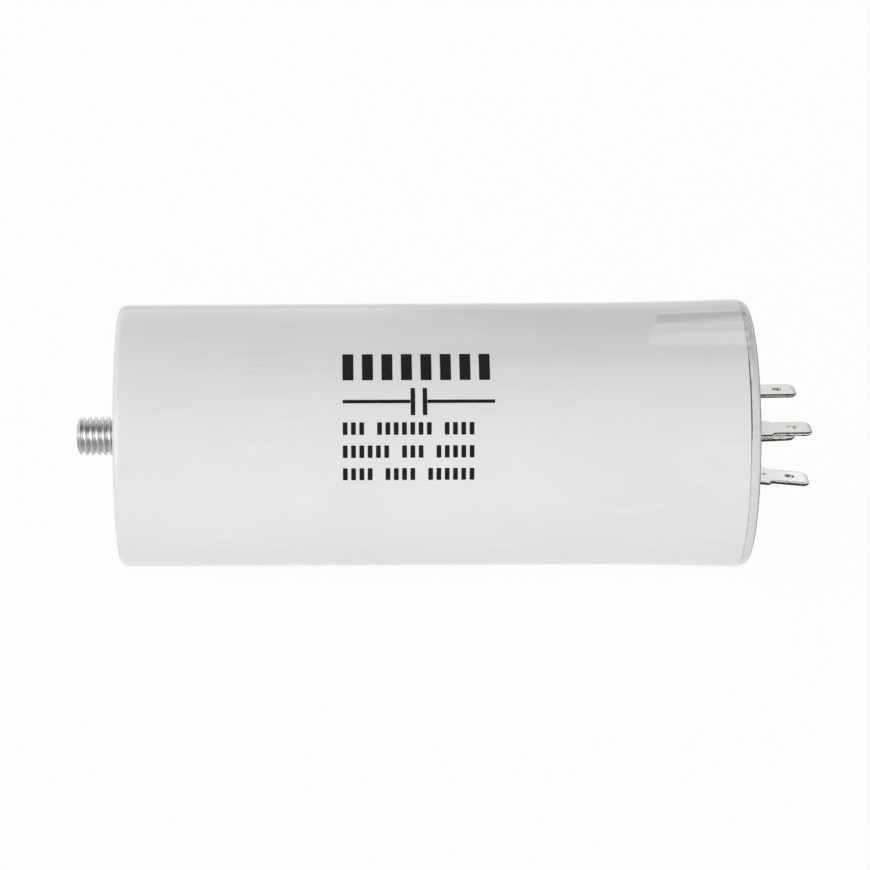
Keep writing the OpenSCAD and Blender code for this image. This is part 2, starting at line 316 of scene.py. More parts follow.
def mouldedWhite(name, shadeAndDirtMask):
    c = plastic
    mat, tree, shader, place = newMaterial(name)
    along, side, up = split(tree, place)
    cloud = remap(tree, grain(tree, place, 26, 4, 0.55), 0.35, 0.68)
    colour = tint(tree, cloud, c["white"], c["cloud"])
    # long rubbed streaks along the can, in areas and mostly on its upper side
    areas = remap(tree, streaks(tree, place, (20, 55, 55), 2), 0.42, 0.62)
    areas = times(tree, areas, remap(tree, up, *c["rubUp"], 0.25, 1))
    rubbed = remap(tree, streaks(tree, place, (75, 420, 420), 6, 0.72, 0.4), 0.50, 0.72)
    rubbed = times(tree, rubbed, areas)
    colour = tint(tree, times(tree, rubbed, c["rubShow"]), colour, c["scuff"])
    dust = remap(tree, streaks(tree, place, (70, 330, 330), 6, 0.7), 0.54, 0.74)
    colour = tint(tree, times(tree, dust, c["dustShow"]), colour, c["dust"])
    # fine scratches in their own patch
    patch = times(tree, band(tree, along, c["patchAlong"]), band(tree, up, c["patchUp"]))
    patch = times(tree, patch, remap(tree, side, *c["patchSide"]))
    lines = remap(tree, streaks(tree, place, (45, 1100, 1100), 5, 0.65, 0.3), 0.52, 0.68)
    colour = tint(tree, times(tree, times(tree, lines, patch), c["scratchShow"]), colour, c["scuff"])
    # tiny ragged dark specks, more of them on the upper side
    ragged = put(tree, "TexNoise", {"Vector": place, "Scale": 1300, "Detail": 3}).outputs["Color"]
    shaken = put(tree, "VectorMath", {0: ragged, 1: c["speckShake"], 2: place}, operation="MULTIPLY_ADD")
    specks = dots(tree, shaken.outputs["Vector"], 430, 0.11, 0.38)
    specks = times(tree, specks, remap(tree, up, *c["speckUp"], 0.3, 1))
    colour = tint(tree, times(tree, specks, c["speckShow"]), colour, c["speck"])
    # dirt and painted shade near the seam, from the mask passed in
    colour = tint(tree, shadeAndDirtMask(tree, place), colour, c["shadeAndGrime"])
    # glossy all round, matt on the flat base
    worn = plus(tree, times(tree, rubbed, c["rubRough"]), times(tree, cloud, c["cloudRough"]))
    rough = plus(tree, worn, remap(tree, along, *c["baseAlong"], c["baseRough"], c["rough"]))
    skin = relief(tree, grain(tree, place, 2600, 2), 0.10, 0.01)
    wave = relief(tree, streaks(tree, place, (30, 70, 70), 2), 0.12, 0.08, skin)
    feed(tree, shader, {"Base Color": colour, "Roughness": rough, "Normal": wave}, IOR=c["bend"])
    return mat


# the can: one shell, drafted, flared at its mouth, rounded at its base

can = {
    "baseR": 27.0, "draftRise": 0.2, "flareRise": 0.6, "flareStart": 88.8, "length": 127.3,
    "wall": 2.0, "floor": 3.0, "baseRound": 1.5, "floorRound": 1.5, "rimRound": 0.10, "rimFrom": 75,
    "rebateStart": 121.0, "rebateR": 26.12, "socketR": 10.0, "headR": 7.52, "socketTop": 8.3, "collarR": 4.52,
    # rings on the flat base, where the wall's and the flare's rings start, and how finely each run is cut
    "baseRings": (12, 20), "wallFrom": 12, "flareLead": 1.5, "baseArc": 10, "wallCuts": 8, "flareCuts": 26,
    "rimArc": 5, "innerCuts": 16, "floorArc": 6, "steps": 192, "smooth": 35,
}


def canRadius(x):
    drafted = can["baseR"] + can["draftRise"] * min(x / can["flareStart"], 1)
    flared = max(x - can["flareStart"], 0) / (can["length"] - can["flareStart"])
    return drafted + can["flareRise"] * flared ** 2


def canRun(start, end, count, inset):
    places = [start + (end - start) * i / count for i in range(count + 1)]
    return [(x, canRadius(x) - inset) for x in places]


def makeCan():
    c = can
    mouthR = canRadius(c["length"])
    innerR = c["baseR"] - c["wall"]
    rimX = c["length"] - c["rimRound"]
    floorX = c["floor"] + c["floorRound"]
    section = [(0, r) for r in (c["collarR"], *c["baseRings"])]
    section += arcPoints(c["baseRound"], c["baseR"] - c["baseRound"], c["baseRound"], 180, 90, c["baseArc"])
    section += canRun(c["wallFrom"], c["flareStart"], c["wallCuts"], 0)
    section += canRun(c["flareStart"] + c["flareLead"], rimX, c["flareCuts"], 0)
    section += arcPoints(rimX, mouthR - c["rimRound"], c["rimRound"], c["rimFrom"], 0, c["rimArc"])
    section += [(c["length"], c["rebateR"]), (c["rebateStart"], c["rebateR"])]
    section += canRun(c["rebateStart"], c["flareStart"], c["innerCuts"], c["wall"])
    section += arcPoints(floorX, innerR - c["floorRound"], c["floorRound"], 90, 180, c["floorArc"])
    section += [
        (c["floor"], c["socketR"]), (c["socketTop"], c["socketR"]), (c["socketTop"], c["headR"]),
        (c["floor"], c["headR"]), (c["floor"], c["collarR"]), (0, c["collarR"]),
    ]
    return spinSection("can_shell", section, c["steps"])


# the open seam under the lid's edge: wider and narrower round the can

seam = {
    "rimX": 127.3, "edgeX": 127.6, "floorR": 27.0, "lipBreak": 0.06,
    # width at angles seen from -Y towards +Z, in degrees and mm
    "gaps": [(-180, 0.26), (-95, 0.22), (-60, 0.03), (-35, 0.02), (-12, 0.03), (4, 0.035), (14, 0.08),
             (22, 0.19), (40, 0.20), (50, 0.14), (60, 0.0), (84, 0.0), (100, 0.08), (120, 0.24), (180, 0.26)],
    "ripple": 0.035, "rippleRate": 9,
    # which points of the lid move with it, and how far up the edge the shift fades out
    "catchR": 0.01, "catchLow": 0.1, "catchHigh": 0.05, "fadeUp": 0.9,
    # painted shade in the seam, in metres: on the rim's end, less of it high up and where the seam is nearly
    # closed
    "shadeAlong": (0.12718, 0.12729), "shadeUp": (0.0235, 0.0205), "closedUp": (0.0030, 0.0085),
}


def sideAngle(co):
    return math.degrees(math.atan2(co.z, -co.y))


def gapAt(angle):
    for (a, wide), (b, nextWide) in zip(seam["gaps"], seam["gaps"][1:]):
        if a <= angle <= b:
            t = (angle - a) / (b - a)
            t = t * t * (3 - 2 * t)
            return wide + (nextWide - wide) * t
    return seam["gaps"][0][1]


def lowerPart(tree, up):
    # less painted shade where the seam is nearly closed, on the lower half
    return remap(tree, up, *seam["closedUp"], 0.35, 1)


def canSeamShade(tree, place):
    # painted shade on the rim's end, down in the seam, where that is open
    along, _, up = split(tree, place)
    shadeAmount = times(tree, remap(tree, up, *seam["shadeUp"], 0.15, 0.8), lowerPart(tree, up))
    return times(tree, remap(tree, along, *seam["shadeAlong"]), shadeAmount)


canShell = makeCan()
smoothBy(canShell, can["smooth"])
finishPiece(canShell, ["can"], [mouldedWhite("canPlastic", canSeamShade)])
print("can shell:", len(canShell.data.polygons), "faces")


# the lid: a flange with a rounded edge, a ring that plugs the mouth, two seats for the terminals

lid = {
    "top": 129.5, "edgeR": 27.65, "edgeRound": 1.8, "landX": 127.3, "plugR": 26.07, "plugInner": 24.47,
    "plugEnd": 121.3, "plugLead": 0.6, "seatDepth": 0.4, "seatWide": 8.8, "seatLong": 10.9,
    "terminalY": 11.9, "holeR": 1.85, "bossR": 5.0, "bossX": 125.8, "bossSink": 0.6, "overrun": 1,
    "faceRings": (0, 9, 18, 23), "edgeArc": 14, "steps": 192, "bossSides": 64, "holeSides": 48, "smooth": 35,
    # dirt and painted shade, in metres: a dirt film over the edge, painted shade making its upper part
    # darker, then painted shade on the lip and in the seam itself
    "filmAlong": (0.1290, 0.1280), "upperUp": (0.0175, 0.0245), "upperAlong": (0.1294, 0.1288),
    "lipAlong": (0.12785, 0.12750), "slotR": (0.02760, 0.02752), "slotAlong": (0.1280, 0.1279),
    "slotShadeShow": 0.82,
    # the trimmed line on the edge, in metres, and the share of the rounded edge that it may take
    "trimAlong": (0.12945, 0.12960), "trimR": (0.02595, 0.02610), "trimWander": 0.0007, "trimShare": 0.4,
    "trimSpecular": 0.05,
}


def followSeam(piece):
    # the flange's lower edge follows the uneven seam
    rimEdge = lid["top"] - lid["edgeRound"]
    low, high = seam["rimX"] + seam["catchLow"], rimEdge + seam["catchHigh"]
    fadeEnd = rimEdge + seam["fadeUp"]
    for v in piece.data.vertices:
        x, r = v.co.x / mm, math.hypot(v.co.y, v.co.z) / mm
        if r > seam["floorR"] - seam["catchR"] and low < x < high:
            angle = sideAngle(v.co)
            turn = math.radians(angle)
            ripple = noise.noise(Vector((math.cos(turn), math.sin(turn), 0)) * seam["rippleRate"])
            wanted = seam["rimX"] + gapAt(angle) + seam["ripple"] * ripple
            share = (fadeEnd - x) / (fadeEnd - seam["edgeX"])
            v.co.x += (wanted - seam["edgeX"]) * min(share, 1) * mm


def makeLid():
    c = lid
    roundX, roundR = c["top"] - c["edgeRound"], c["edgeR"] - c["edgeRound"]
    section = [(c["top"], r) for r in c["faceRings"]]
    section += arcPoints(roundX, roundR, c["edgeRound"], 0, 90, c["edgeArc"])
    section += [
        (seam["edgeX"] + seam["lipBreak"], c["edgeR"]), (seam["edgeX"], c["edgeR"] - seam["lipBreak"]),
        (seam["edgeX"], seam["floorR"]), (c["landX"], seam["floorR"]), (c["landX"], c["plugR"]),
        (c["plugEnd"] + c["plugLead"], c["plugR"]), (c["plugEnd"], c["plugR"] - c["plugLead"]),
        (c["plugEnd"], c["plugInner"]), (c["landX"], c["plugInner"]), (c["landX"], 0),
    ]
    piece = spinSection("lid_cap", section, c["steps"])
    followSeam(piece)
    halfWide, halfLong = c["seatWide"] / 2, c["seatLong"] / 2
    above = c["top"] + c["overrun"]
    for side in (-1, 1):
        y = side * c["terminalY"]
        boss = placeRod("boss", y, c["bossX"], c["landX"] + c["bossSink"], c["bossR"], c["bossSides"])
        combine(piece, boss, "UNION")
        low = (c["top"] - c["seatDepth"], y - halfWide, -halfLong)
        combine(piece, placeBox("seat", low, (above, y + halfWide, halfLong)), "DIFFERENCE")
        hole = placeRod("hole", y, c["bossX"] - c["overrun"], above, c["holeR"], c["holeSides"])
        combine(piece, hole, "DIFFERENCE")
    return piece


def lidShadeAndDirt(tree, place):
    # painted shade down in the seam and a little of it on the lip above; a faint dirt film over the edge, and
    # painted shade on its upper part
    c = lid
    along, _, up = split(tree, place)
    broken = streaks(tree, place, (500, 620, 620), 5, 0.7)
    film = times(tree, remap(tree, broken, 0.35, 0.70, 0.05, 0.16), remap(tree, along, *c["filmAlong"]))
    # painted shade: the upper part of the edge is darker
    upper = times(tree, remap(tree, up, *c["upperUp"]), remap(tree, broken, 0.32, 0.66, 0.10, 0.38))
    film = most(tree, film, times(tree, upper, remap(tree, along, *c["upperAlong"])))
    lip = times(tree, remap(tree, along, *c["lipAlong"]), remap(tree, broken, 0.42, 0.66, 0.05, 0.6))
    far = fromAxis(tree, place)
    inSlot = times(tree, remap(tree, far, *c["slotR"]), remap(tree, along, *c["slotAlong"]))
    slotShade = times(tree, most(tree, lip, inSlot), lowerPart(tree, up))
    return most(tree, film, times(tree, slotShade, c["slotShadeShow"]))


def lidEdge():
    # the rough trimmed line where the rounded edge runs out into the face, painted dark: painted shade along
    # the edge
    c = lid
    mat, tree, shader, place = newMaterial("lidEdge")
    torn = streaks(tree, place, (1300, 1900, 1900), 5, 0.75)
    wander = plus(tree, split(tree, place)[0], times(tree, torn, c["trimWander"]))
    dark = times(tree, remap(tree, wander, *c["trimAlong"]), remap(tree, fromAxis(tree, place), *c["trimR"]))
    fade = remap(tree, grain(tree, place, 2600, 3), 0.30, 0.70, 0.45, 0.80)
    colour = tint(tree, times(tree, dark, fade), plastic["white"], plastic["shadeAndGrime"])
    rough = remap(tree, torn, 0.3, 0.7, 0.5, 0.8)
    feed(tree, shader, {"Base Color": colour, "Roughness": rough, "Normal": relief(tree, torn, 0.4, 0.05)})
    shader.inputs["Specular IOR Level"].default_value = c["trimSpecular"]
    return mat


def markLidEdge(piece):
    c = lid
    for face in piece.data.polygons:
        x, r = face.center.x / mm, math.hypot(face.center.y, face.center.z) / mm
        outside = r > c["edgeR"] - c["edgeRound"]
        nearTop = x > c["top"] - c["edgeRound"] * c["trimShare"]
        face.material_index = 1 if outside and nearTop else 0


lidCap = makeLid()
smoothBy(lidCap, lid["smooth"])
finishPiece(lidCap, ["lid"], [mouldedWhite("lidPlastic", lidShadeAndDirt), lidEdge()])
markLidEdge(lidCap)
print("lid:", len(lidCap.data.polygons), "faces")


# the stud: a right-handed coarse thread on a plain collar and head that the can is moulded round

stud = {
    "pitch": 1.25, "phase": -0.26, "inside": 0.4, "spareTurns": 2,
    # half a tooth as (distance from its middle, radius): rounded crest, flank, narrow root
    "tooth": [(0, 3.985), (0.13, 3.98), (0.20, 3.945), (0.26, 3.86), (0.49, 3.37), (0.53, 3.29),
              (0.57, 3.24), (0.63, 3.24)],
    "toothSteps": 32, "steps": 72,
    # the largest radius at x: a domed end, then a groove that splits the first crest
    "end": [(-9.0, 1.5), (-8.96, 1.9), (-8.89, 2.3), (-8.79, 2.7), (-8.67, 3.05), (-8.55, 3.33),
            (-8.43, 3.58), (-8.31, 3.79), (-8.23, 3.90), (-8.15, 3.92), (-8.05, 3.78), (-7.95, 3.60),
            (-7.85, 3.50), (-7.75, 3.54), (-7.65, 3.68), (-7.55, 3.84), (-7.45, 3.96), (-7.35, 4.0),
            (9.0, 4.0)],
    # the smallest radius at x: a plain ring where the thread starts, then the root
    "ring": [(-9.3, 3.90), (-8.18, 3.90), (-8.08, 3.66), (-7.98, 3.40), (-7.90, 3.24), (9.0, 3.24)],
    "collarR": 4.5, "collarEnd": 3.0, "collarSides": 96, "headR": 7.506, "headEnd": 8.3, "headSides": 6,
    "headOverlap": 0.5, "smooth": 40,
    "zinc": (0.82, 0.82, 0.83, 1), "dull": (0.72, 0.72, 0.74, 1), "rootShade": (0.50, 0.495, 0.49, 1),
    "endTone": (0.24, 0.235, 0.23, 1), "rootR": (0.00330, 0.00390), "rootWander": 0.0003,
    "endAlong": (-0.00876, -0.00890), "rootShadeShow": 0.5, "endShow": 0.5, "endRough": 0.5,
}


def alongLine(points, x):
    # radius at x on a line of (x, radius) points
    for (a, r), (b, nextR) in zip(points, points[1:]):
        if a <= x <= b:
            return r + (nextR - r) * (x - a) / (b - a)
    return points[0][1]


def turnToShape(piece):
    # the thread starts on its ring, and the end is turned to its dome
    for v in piece.data.vertices:
        x, r = v.co.x / mm, math.hypot(v.co.y, v.co.z) / mm
        wanted = min(max(r, alongLine(stud["ring"], x)), alongLine(stud["end"], x))
        v.co.y *= wanted / r
        v.co.z *= wanted / r


def makeStud():
    c = stud
    tipX = c["end"][0][0]
    spare = c["spareTurns"] * c["pitch"]
    start = tipX - spare
    turnCount = math.ceil((c["inside"] + spare - start) / c["pitch"])
    # one pitch with its crest in the middle; the crest lies at the phase where the helix meets +Z
    crestX = start + math.fmod(c["phase"] - start, c["pitch"]) + c["pitch"] * 0.25
    steps = [c["pitch"] * (i / c["toothSteps"] - 0.5) for i in range(c["toothSteps"] + 1)]
    piece = drawLine("threaded_stud", [(crestX + out, alongLine(c["tooth"], abs(out))) for out in steps])
    closeMesh()
    screw = piece.modifiers.new("thread", "SCREW")
    screw.axis = "X"
    screw.screw_offset = c["pitch"] * mm
    screw.iterations = turnCount
    screw.steps = c["steps"]
    screw.render_steps = c["steps"]
    screw.use_merge_vertices = True
    bpy.ops.object.modifier_apply(modifier=screw.name)
    openMesh()
    bpy.ops.mesh.remove_doubles(threshold=2 * mergeSlack)
    # the ends are trimmed square and closed
    for cutX, facing in ((tipX, -1), (c["inside"], 1)):
        bpy.ops.mesh.select_all(action="SELECT")
        bpy.ops.mesh.bisect(
            plane_co=(cutX * mm, 0, 0), plane_no=(facing, 0, 0), use_fill=True, clear_outer=True,
            threshold=cutSlack)
    closeMesh()
    turnToShape(piece)
    openMesh()
    mergeAndFace()
    closeMesh()
    collar = placeRod("collar", 0, 0, c["collarEnd"] + c["headOverlap"], c["collarR"], c["collarSides"])
    combine(piece, collar, "UNION")
    combine(piece, placeRod("head", 0, c["collarEnd"], c["headEnd"], c["headR"], c["headSides"]), "UNION")
    return piece


def zincFinish():
    # bright zinc plate; the thread's roots are rougher, and painted shade darkens them
    c = stud
    mat, tree, shader, place = newMaterial("studZinc")
    blot = grain(tree, place, 900, 4, 0.6)
    far = plus(tree, fromAxis(tree, place), times(tree, blot, c["rootWander"]))
    root = remap(tree, far, *c["rootR"], 1, 0)
    colour = tint(tree, remap(tree, blot, 0.3, 0.7), c["zinc"], c["dull"])
    # painted shade darkens the roots
    colour = tint(tree, times(tree, root, c["rootShadeShow"]), colour, c["rootShade"])
    # the end is duller and spotted
    spots = remap(tree, grain(tree, place, 2400, 3, 0.6), 0.38, 0.58, 0.45, 1)
    tip = times(tree, remap(tree, split(tree, place)[0], *c["endAlong"]), spots)
    colour = tint(tree, times(tree, tip, c["endShow"]), colour, c["endTone"])
    rough = most(tree, remap(tree, root, 0, 1, 0.22, 0.30), times(tree, tip, c["endRough"]))
    lathe = relief(tree, streaks(tree, place, (9000, 500, 500), 2), 0.15, 0.01)
    feed(tree, shader, {"Base Color": colour, "Roughness": rough, "Normal": lathe}, Metallic=1)
    return mat


threadedStud = makeStud()
smoothBy(threadedStud, stud["smooth"])
finishPiece(threadedStud, ["mounting_stud"], [zincFinish()])
print("stud:", len(threadedStud.data.polygons), "faces")


# the terminals: the stamped strips with their edges broken and their tips rounded

tabs = {
    "edgeBreak": 0.11, "breakSteps": 2, "breakAngle": 40, "flatAngle": 1, "smooth": 38,
    "bendX": 130.5, "bendZ": 3.95, "bendR": 0.6, "thick": 0.8, "holeX": 137.4, "holeReach": 1.6,
    "tipX": 141.4, "tipReach": 3, "tipRound": 1.7, "tipSides": 64, "halfWide": 3.15, "y": 11.9,
    "tipZ": 5.2, "cutReach": 3, "hollowTall": 8,
    "dimple": (132.1, -11.9, -4.45), "dimpleR": 0.45, "dimpleTall": 0.5, "dimpleSides": 32,
    # outward lean of the upper and the lower tab, in degrees
    "leans": {"front_terminal": (0.6, 5.5), "back_terminal": (0.6, -2.4)},
    # how far a face is turned before it counts as cut side, tip, hole wall or flat
    "cutTurn": 0.3, "tipTurn": 0.93, "holeTurn": 0.5, "flatTurn": 0.97,
    "faces": (0.67, 0.665, 0.65, 1), "dull": (0.58, 0.575, 0.56, 1), "lowFacesLit": (0.84, 0.835, 0.82, 1),
    "pits": (0.22, 0.21, 0.20, 1), "coined": (0.26, 0.25, 0.24, 1), "dimpleDark": (0.10, 0.10, 0.10, 1),
    "torn": (0.05, 0.048, 0.045, 1), "burnished": (0.70, 0.69, 0.67, 1),
    "holeLight": (0.88, 0.87, 0.85, 1), "holeDark": (0.16, 0.155, 0.15, 1),
    "rough": 0.36, "mottleRough": 0.10, "pitShow": 0.3, "coinedShow": 0.5,
    # in metres: the lower faces, painted lighter as painted light, the darker borders, the coined tips and
    # the dimple, then where the edges of the upper and of the back tabs differ; the last three are shares of
    # the sheet's thickness
    "lowUp": (-0.0030, -0.0038), "borderSide": (0.0026, 0.0031), "borderAlong": (0.1340, 0.1348),
    "coinedAlong": (0.1401, 0.1413), "dimpleNear": (0.0004, 0.0007), "edgeUp": (-0.0005, 0.0005),
    "edgeSide": (-0.001, 0.001), "edgeInner": (-0.30, -0.14), "edgeOuter": (0.20, 0.04), "edgeWander": 1.1,
}


def acrossSheet(name, co):
    # how far a point lies through the sheet: -0.5 on the inner face, 0.5 on the outer one
    upper, lower = tabs["leans"][name]
    lean = math.radians(upper if co.z > 0 else lower)
    out, up = abs(co.z) / mm - tabs["bendZ"], co.x / mm - tabs["bendX"]
    tabOut = out * math.cos(lean) - up * math.sin(lean)
    tabUp = out * math.sin(lean) + up * math.cos(lean)
    if out < 0 and up < 0:
        depth = -up
    elif tabUp < 0:
        depth = math.hypot(out, up)
    else:
        depth = tabOut
    return (depth - tabs["bendR"]) / tabs["thick"] - 0.5


def roundTips(piece, middleY):
    # a cutter with a hollow round takes each corner off the tips
    c = tabs
    for side in (1, -1):
        tipX = max(v.co.x for v in piece.data.vertices if v.co.z * side > 0) / mm
        for end in (-1, 1):
            x, y = tipX - c["tipRound"], middleY + end * (c["halfWide"] - c["tipRound"])
            z, farY = side * c["tipZ"], y + end * c["cutReach"]
            low = (x, min(y, farY), z - c["cutReach"])
            high = (x + c["cutReach"], max(y, farY), z + c["cutReach"])
            cutter = placeBox("corner", low, high)
            hollow = placeCylinder("hollow", (x, y, z), c["tipRound"], c["hollowTall"], c["tipSides"])
            combine(cutter, hollow, "DIFFERENCE")
            combine(piece, cutter, "DIFFERENCE")


def cutDimple(piece):
    # a small dimple punched at the root of the front terminal's lower tab
    c = tabs
    punch = placeCylinder("punch", c["dimple"], c["dimpleR"], c["dimpleTall"], c["dimpleSides"])
    combine(piece, punch, "DIFFERENCE")


def makeTerminal(node, name):
    c = tabs
    piece = bpy.data.objects.new(name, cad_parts[node].data.copy())
    bpy.context.scene.collection.objects.link(piece)
    pickOnly(piece)
    bpy.ops.mesh.customdata_custom_splitnormals_clear()
    openMesh()
    bpy.ops.mesh.remove_doubles(threshold=mergeSlack)
    bpy.ops.mesh.dissolve_limited(angle_limit=math.radians(c["flatAngle"]))
    closeMesh()
    roundTips(piece, -c["y"] if name == "front_terminal" else c["y"])
    if name == "front_terminal":
        cutDimple(piece)
    softenEdges(piece, c["edgeBreak"], c["breakSteps"], c["breakAngle"])
    smoothBy(piece, c["smooth"])
    depth = piece.data.attributes.new("across", "FLOAT", "POINT")
    depth.data.foreach_set("value", [acrossSheet(name, v.co) for v in piece.data.vertices])
    return piece


def tinnedSheet():
    c = tabs
    mat, tree, shader, place = newMaterial("tabTin")
    along, side, up = split(tree, place)
    mottle = remap(tree, grain(tree, place, 2600, 4, 0.6), 0.35, 0.70)
    colour = tint(tree, mottle, c["faces"], c["dull"])
    pits = dots(tree, place, 2200, 0.16, 0.20)
    colour = tint(tree, times(tree, pits, c["pitShow"]), colour, c["pits"])
    # painted light: the lower tabs' faces are painted lighter
    colour = tint(tree, remap(tree, up, *c["lowUp"]), colour, c["lowFacesLit"])
    # darker along the sides and at the coined tips, dark in and round the dimple
    fromMiddle = calc(tree, "SUBTRACT", calc(tree, "ABSOLUTE", side, 0), c["y"] * mm)
    fromMiddle = calc(tree, "ABSOLUTE", fromMiddle, 0)
    border = times(tree, remap(tree, fromMiddle, *c["borderSide"]), remap(tree, along, *c["borderAlong"]))
    coined = most(tree, border, remap(tree, along, *c["coinedAlong"]))
    colour = tint(tree, times(tree, coined, c["coinedShow"]), colour, c["coined"])
    spot = Vector(c["dimple"]) * mm
    away = put(tree, "VectorMath", {0: place, 1: spot}, operation="DISTANCE").outputs["Value"]
    colour = tint(tree, remap(tree, away, *c["dimpleNear"], 0.8, 0), colour, c["dimpleDark"])
    rough = plus(tree, times(tree, mottle, c["mottleRough"]), c["rough"])
    rolled = relief(tree, streaks(tree, place, (600, 4200, 4200)), 0.10, 0.01)
    feed(tree, shader, {"Base Color": colour, "Roughness": rough, "Normal": rolled}, Metallic=1)
    return mat


def shearedEdge():
    # the stamped edges: a burnished line between torn dark metal
    c = tabs
    mat, tree, shader, place = newMaterial("tabEdge")
    across = put(tree, "Attribute", {}, attribute_name="across").outputs["Fac"]
    torn = streaks(tree, place, (1500, 400, 2400), 4, 0.75)
    _, side, up = split(tree, place)
    lowest, highest = c["edgeUp"]
    # the lower tabs keep only spots of the burnished line, and the back terminal's upper tab is dirtier
    shift = remap(tree, up, lowest, highest, 0.24, 0)
    clean = most(tree, remap(tree, side, *c["edgeSide"], 1, 0.5), remap(tree, up, highest, lowest))
    wander = plus(tree, across, times(tree, calc(tree, "SUBTRACT", torn, 0.5), c["edgeWander"]))
    wander = plus(tree, wander, shift)
    bright = times(tree, remap(tree, wander, *c["edgeInner"]), remap(tree, wander, *c["edgeOuter"]))
    bright = times(tree, bright, clean)
    colour = tint(tree, bright, c["torn"], c["burnished"])
    rough = remap(tree, bright, 0, 1, 0.6, 0.32)
    ragged = relief(tree, torn, 0.4, 0.03)
    feed(tree, shader, {"Base Color": colour, "Roughness": rough, "Normal": ragged}, Metallic=1)
    return mat


def holeWall():
    # the punched walls of the latching holes, blotched
    mat, tree, shader, place = newMaterial("tabHole")
    blot = streaks(tree, place, (1500, 1500, 700), 3, 0.6)
    colour = tint(tree, remap(tree, blot, 0.50, 0.60), tabs["holeLight"], tabs["holeDark"])
    rough = remap(tree, blot, 0.4, 0.6, 0.3, 0.5)
    punched = relief(tree, blot, 0.3, 0.02)
    feed(tree, shader, {"Base Color": colour, "Roughness": rough, "Normal": punched}, Metallic=1)
    return mat


def markEdges(piece):
    # the strip's cut sides and tips take the second material, the hole walls the third
    c = tabs
    for face in piece.data.polygons:
        turnX, turnY, turnZ = (abs(part) for part in face.normal)
        x, y = face.center.x / mm, abs(abs(face.center.y) / mm - c["y"])
        cut = turnY > c["cutTurn"]
        tip = x > c["tipX"] - c["tipReach"] and turnZ < c["tipTurn"]
        hole = abs(x - c["holeX"]) < c["holeReach"] and y < c["holeReach"] and turnZ < c["holeTurn"]
        face.material_index = 2 if hole else 1 if cut or tip else 0
        if turnZ > c["flatTurn"] or turnX > c["flatTurn"]:
            face.use_smooth = False


tinMat, edgeMat, holeMat = tinnedSheet(), shearedEdge(), holeWall()
for node, name in (("terminal_front", "front_terminal"), ("terminal_back", "back_terminal")):
    terminal = makeTerminal(node, name)
    finishPiece(terminal, [node], [tinMat, edgeMat, holeMat])
    markEdges(terminal)
    print(name + ":", len(terminal.data.polygons), "faces")


# the rivets: domed heads with a small set mark, closed over the tags inside

rivet = {
    "strapX": 129.9, "shankR": 1.8, "headR": 3.2, "headTall": 1.3,
    "markR": 0.9, "markFloorR": 0.35, "markDeep": 0.12, "headBreak": 0.05, "breakIn": 0.01,
    "tagX": 125.3, "closeR": 2.7, "closeTall": 0.9, "y": 11.9,
    "domeArc": 10, "steps": 64, "smooth": 30,
    "tin": (0.72, 0.715, 0.70, 1), "dull": (0.52, 0.515, 0.50, 1),
}


def makeRivets():
    c = rivet
    domeR = (c["headR"] ** 2 + c["headTall"] ** 2) / (2 * c["headTall"])
    domeX = c["strapX"] + c["headTall"] - domeR
    low, high = [math.degrees(math.asin(r / domeR)) for r in (c["headR"], c["markR"])]
    dome = arcPoints(domeX, 0, domeR, low, high, c["domeArc"])
    mark = [(dome[-1][0] - c["markDeep"] * t, c["markR"] * (1 - t) + c["markFloorR"] * t) for t in (0.5, 1.0)]
    closeX = c["tagX"] - c["closeTall"]
    section = [
        (closeX, 0), (closeX, c["shankR"]), (c["tagX"] - c["closeTall"] / 2, c["closeR"]),
        (c["tagX"], c["closeR"]), (c["tagX"], c["shankR"]),
        (c["strapX"], c["shankR"]), (c["strapX"], c["headR"] - c["headBreak"]),
        (c["strapX"] + c["headBreak"], c["headR"] - c["breakIn"]),
    ] + dome[1:] + mark + [(mark[-1][0], 0)]
    both = spinSection("rivet_heads", section, c["steps"])
    openMesh()
    bpy.ops.transform.translate(value=(0, -c["y"] * mm, 0))
    bpy.ops.mesh.duplicate_move(TRANSFORM_OT_translate={"value": (0, 2 * c["y"] * mm, 0)})
    closeMesh()
    return both


def tinnedRivet():
    mat, tree, shader, place = newMaterial("rivetTin")
    mottle = remap(tree, grain(tree, place, 1100, 4, 0.6), 0.35, 0.68)
    colour = tint(tree, mottle, rivet["tin"], rivet["dull"])
    rough = remap(tree, mottle, 0, 1, 0.28, 0.44)
    struck = relief(tree, grain(tree, place, 2600, 3), 0.2, 0.01)
    feed(tree, shader, {"Base Color": colour, "Roughness": rough, "Normal": struck}, Metallic=1)
    return mat


rivets = makeRivets()
smoothBy(rivets, rivet["smooth"])
finishPiece(rivets, ["terminal_rivets"], [tinnedRivet()])
print("rivets:", len(rivets.data.polygons), "faces")


# printed marks: a plain circuit symbol of a capacitor and rows of small blocks, rolled on to the can

marks = {
    "ink": (0.008, 0.008, 0.009, 1), "worn": (0.05, 0.05, 0.05, 1), "wornShow": 0.6, "specular": 0.12,
    "lift": 0.006, "thick": 0.02, "corner": 0.14, "cornerShare": 0.3, "cornerSteps": 3, "rollStep": 0.6,
    "left": 45.8, "right": 76.2,
    "heavyRow": {"low": 20.5, "high": 26.6, "count": 8, "wide": 2.2, "space": 1.7},
    "symbol": {"middle": 16.0, "tall": 5.6, "plate": 0.9, "gap": 1.5, "wire": 0.7, "x": 61.0, "apart": 0.03},
    "blockRows": [
        {"low": 9.3, "high": 11.8, "words": [3, 7, 4]},
        {"low": 4.7, "high": 7.2, "words": [6, 3, 5]},
        {"low": 0.1, "high": 2.6, "words": [4, 4, 6]},
    ],
    "blockWide": 0.95, "blockSpace": 0.7, "wordSpace": 2.6,
}


